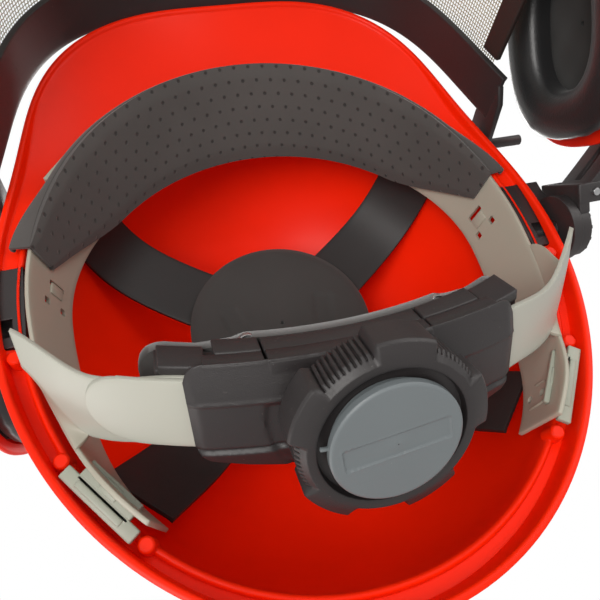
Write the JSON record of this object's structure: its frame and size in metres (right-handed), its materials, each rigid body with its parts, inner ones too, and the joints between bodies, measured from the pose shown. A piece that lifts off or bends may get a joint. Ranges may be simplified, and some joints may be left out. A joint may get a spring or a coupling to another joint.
{
  "type": "forestry hard hat",
  "caption": "Forestry hard hat with harness, nape ratchet, brow pad, flip-up mesh visor and a pair of swing-up ear muffs on arms.",
  "frame": {"origin": "centre of the crown pad's lower face, where the crown of the head rests, 69 mm above the middle of the rim", "axes": "+Z towards the crown, -Y towards the peak, +X towards the wearer's left"},
  "size_m": [0.326, 0.315, 0.29],
  "materials": {
    "shell": "smooth",
    "clip": "satin",
    "band": "satin",
    "foam": "matte",
    "black": "satin",
    "cap": "satin",
    "mesh": "woven",
    "binding": "matte",
    "steel": "satin",
    "cushion": "matte"
  },
  "bodies": {
    "helmet": {"shell": "shell", "suspension_clips": "clip", "headband": "band", "brow_pad": "foam", "crown_cradle": "black", "crown_pad": "cushion", "ratchet_base": "black", "ratchet_cover": "black", "ratchet_screws": "steel", "nape_pad": "cushion", "visor_brackets": "black", "visor_pivot_pins": "steel", "slot_adapter_left": "black", "swing_rivet_left": "steel", "slot_adapter_right": "black", "swing_rivet_right": "steel"},
    "strap_left": {"nape_strap_left": "band"},
    "strap_right": {"nape_strap_right": "band"},
    "knob": {"ratchet_pinion": "clip", "detent_spring": "clip", "knob_screw": "steel", "ratchet_knob": "black", "knob_cap": "cap"},
    "visor": {"visor_arch": "black", "visor_mesh": "mesh", "visor_binding": "binding"},
    "muff_swing_left": {"swing_base_left": "black", "tilt_pin_left": "steel"},
    "muff_arm_left": {"muff_arm_left": "black"},
    "cup_slide_left": {"cup_yoke_left": "black", "cup_pin_left": "steel"},
    "cup_left": {"ear_cup_left": "shell", "ear_cushion_left": "cushion", "ear_foam_left": "foam"},
    "muff_swing_right": {"swing_base_right": "black", "tilt_pin_right": "steel"},
    "muff_arm_right": {"muff_arm_right": "black"},
    "cup_slide_right": {"cup_yoke_right": "black", "cup_pin_right": "steel"},
    "cup_right": {"ear_cup_right": "shell", "ear_cushion_right": "cushion", "ear_foam_right": "foam"}
  },
  "joints": [
    {"name": "knob_turn", "type": "hinge", "parent": "helmet", "child": "knob", "pos_m": [0, 0.0773, -0.0979], "axis": [0, 0.8192, -0.5736], "range_deg": [-57, 134]},
    {"name": "strap_left_wind", "type": "hinge", "parent": "helmet", "child": "strap_left", "pos_m": [0, -0.03329, -0.02047], "axis": [0, 0.5736, 0.8192], "range_deg": [-2.65, 6.2]},
    {"name": "strap_right_wind", "type": "hinge", "parent": "helmet", "child": "strap_right", "pos_m": [0, -0.03329, -0.02047], "axis": [0, 0.5736, 0.8192], "range_deg": [-6.3, 2.7]},
    {"name": "visor_flip", "type": "hinge", "parent": "helmet", "child": "visor", "pos_m": [0, -0.049, -0.051], "axis": [-1, 0, 0], "range_deg": [0, 85]},
    {"name": "muff_swing_left_turn", "type": "hinge", "parent": "helmet", "child": "muff_swing_left", "pos_m": [0.118, 0.011, -0.061], "axis": [1, 0, 0], "range_deg": [-3, 228]},
    {"name": "muff_tilt_left", "type": "hinge", "parent": "muff_swing_left", "child": "muff_arm_left", "pos_m": [0.1255, 0.00028, -0.07], "axis": [0, 0.6428, -0.766], "range_deg": [-12, 1]},
    {"name": "cup_height_left", "type": "slide", "parent": "muff_arm_left", "child": "cup_slide_left", "axis": [0, -0.766, -0.6428], "range_m": [-0.005, 0.011]},
    {"name": "cup_swivel_left", "type": "hinge", "parent": "cup_slide_left", "child": "cup_left", "pos_m": [0.1504, -0.05105, -0.11307], "axis": [0, 0.6428, -0.766], "range_deg": [-10, 5]},
    {"name": "muff_swing_right_turn", "type": "hinge", "parent": "helmet", "child": "muff_swing_right", "pos_m": [-0.118, 0.011, -0.061], "axis": [1, 0, 0], "range_deg": [-207, 3]},
    {"name": "muff_tilt_right", "type": "hinge", "parent": "muff_swing_right", "child": "muff_arm_right", "pos_m": [-0.1255, 0.00714, -0.04754], "axis": [0, 0.9613, 0.2756], "range_deg": [-12, 12]},
    {"name": "cup_height_right", "type": "slide", "parent": "muff_arm_right", "child": "cup_slide_right", "axis": [0, -0.2756, 0.9613], "range_m": [-0.005, 0.011]},
    {"name": "cup_swivel_right", "type": "hinge", "parent": "cup_slide_right", "child": "cup_right", "pos_m": [-0.1504, -0.01133, 0.01686], "axis": [0, 0.9613, 0.2756], "range_deg": [-10, 5]}
  ],
  "couplings": [
    {"joint": "strap_left_wind", "follows": "knob_turn", "ratio": 0.04548},
    {"joint": "strap_right_wind", "follows": "knob_turn", "ratio": -0.046127}
  ]
}
